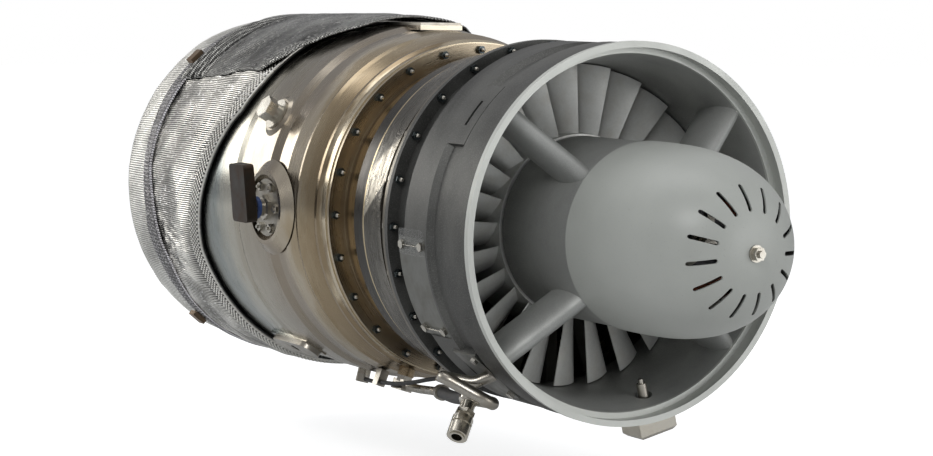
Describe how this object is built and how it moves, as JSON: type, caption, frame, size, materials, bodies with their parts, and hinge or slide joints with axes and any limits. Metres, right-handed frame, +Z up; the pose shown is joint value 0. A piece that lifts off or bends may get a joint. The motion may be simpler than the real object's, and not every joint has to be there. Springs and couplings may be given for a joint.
{
  "type": "turbojet engine",
  "caption": "Small single-shaft turbojet engine with a slotted bullet nose, strutted air intake, stepped casing, heat blanket and round exhaust mouth.",
  "frame": {"origin": "on the engine's axis, at the front face of the air intake's rim", "axes": "+Y along the engine's axis towards the exhaust, +Z up, +X to the right seen from behind the engine"},
  "size_m": [0.383, 0.919, 0.3641],
  "materials": {
    "cast_grey": "satin",
    "cowl_grey": "satin",
    "steel": "satin",
    "plated": "polished",
    "nut_green": "satin",
    "alternator": "satin",
    "core": "satin",
    "copper": "satin",
    "blade_metal": "satin",
    "bronze_case": "satin",
    "strap": "polished",
    "hot_case": "satin",
    "nickel": "satin",
    "blue_seal": "matte",
    "dark_block": "satin",
    "blanket": "metallic",
    "brown_clip": "satin",
    "black_rubber": "matte"
  },
  "bodies": {
    "engine": {"intake_casing": "cast_grey", "nose_cowl": "cowl_grey", "nose_support": "steel", "nose_nut": "steel", "inlet_probe": "steel", "front_bearing_outer": "steel", "rear_bearing_outer": "steel", "fuel_pipe": "steel", "feed_pipe": "steel", "lead_clips": "steel", "side_cover_plate": "steel", "lower_cover_plate": "steel", "cover_bolts": "steel", "flange_bolts": "steel", "igniter_plug": "steel", "side_mount_adaptor": "steel", "top_mount_bracket": "steel", "lower_mount_bracket": "steel", "coupler_body": "plated", "probe_housing": "plated", "flange_nuts": "nut_green", "alternator_housing": "alternator", "alternator_core": "core", "alternator_windings": "copper", "stator_vanes_1": "blade_metal", "stator_vanes_2": "blade_metal", "outlet_guide_vanes": "blade_metal", "compressor_casing": "bronze_case", "casing_strap": "strap", "combustor_casing": "hot_case", "inner_casing": "nickel", "flame_tube": "nickel", "fuel_manifold": "nickel", "turbine_nozzle": "nickel", "turbine_shroud": "nickel", "exhaust_casing": "nickel", "jet_pipe": "nickel", "tail_cone": "nickel", "side_mount_seal": "blue_seal", "side_mount_block": "dark_block", "blanket_front": "blanket", "blanket_flap": "blanket", "blanket_rear": "blanket", "blanket_lugs": "brown_clip", "fuel_hose": "black_rubber", "sensor_lead": "black_rubber"},
    "spool": {"shaft": "steel", "shaft_nuts": "steel", "alternator_rotor": "core", "front_bearing_inner": "steel", "rear_bearing_inner": "steel", "rotor_1": "blade_metal", "rotor_2": "blade_metal", "rotor_3": "blade_metal", "turbine_rotor": "nickel"},
    "front_balls": {"front_bearing_balls": "steel"},
    "rear_rollers": {"rear_bearing_rollers": "steel"},
    "sleeve": {"coupler_sleeve": "plated"}
  },
  "joints": [
    {"name": "spool_spin", "type": "hinge", "parent": "engine", "child": "spool", "pos_m": [0, 0, 0], "axis": [0, 1, 0], "continuous": true},
    {"name": "front_balls_spin", "type": "hinge", "parent": "engine", "child": "front_balls", "pos_m": [0, 0.066, 0], "axis": [0, 1, 0], "continuous": true},
    {"name": "rear_rollers_spin", "type": "hinge", "parent": "engine", "child": "rear_rollers", "pos_m": [0, 0.485, 0], "axis": [0, 1, 0], "continuous": true},
    {"name": "sleeve_release", "type": "slide", "parent": "engine", "child": "sleeve", "axis": [0.5687, 0.4588, 0.6827], "range_m": [0, 0.0025], "stiffness_N_per_m": 1000, "springref_m": -0.002}
  ],
  "couplings": [
    {"joint": "front_balls_spin", "follows": "spool_spin", "ratio": 0.4},
    {"joint": "rear_rollers_spin", "follows": "spool_spin", "ratio": 0.425}
  ]
}
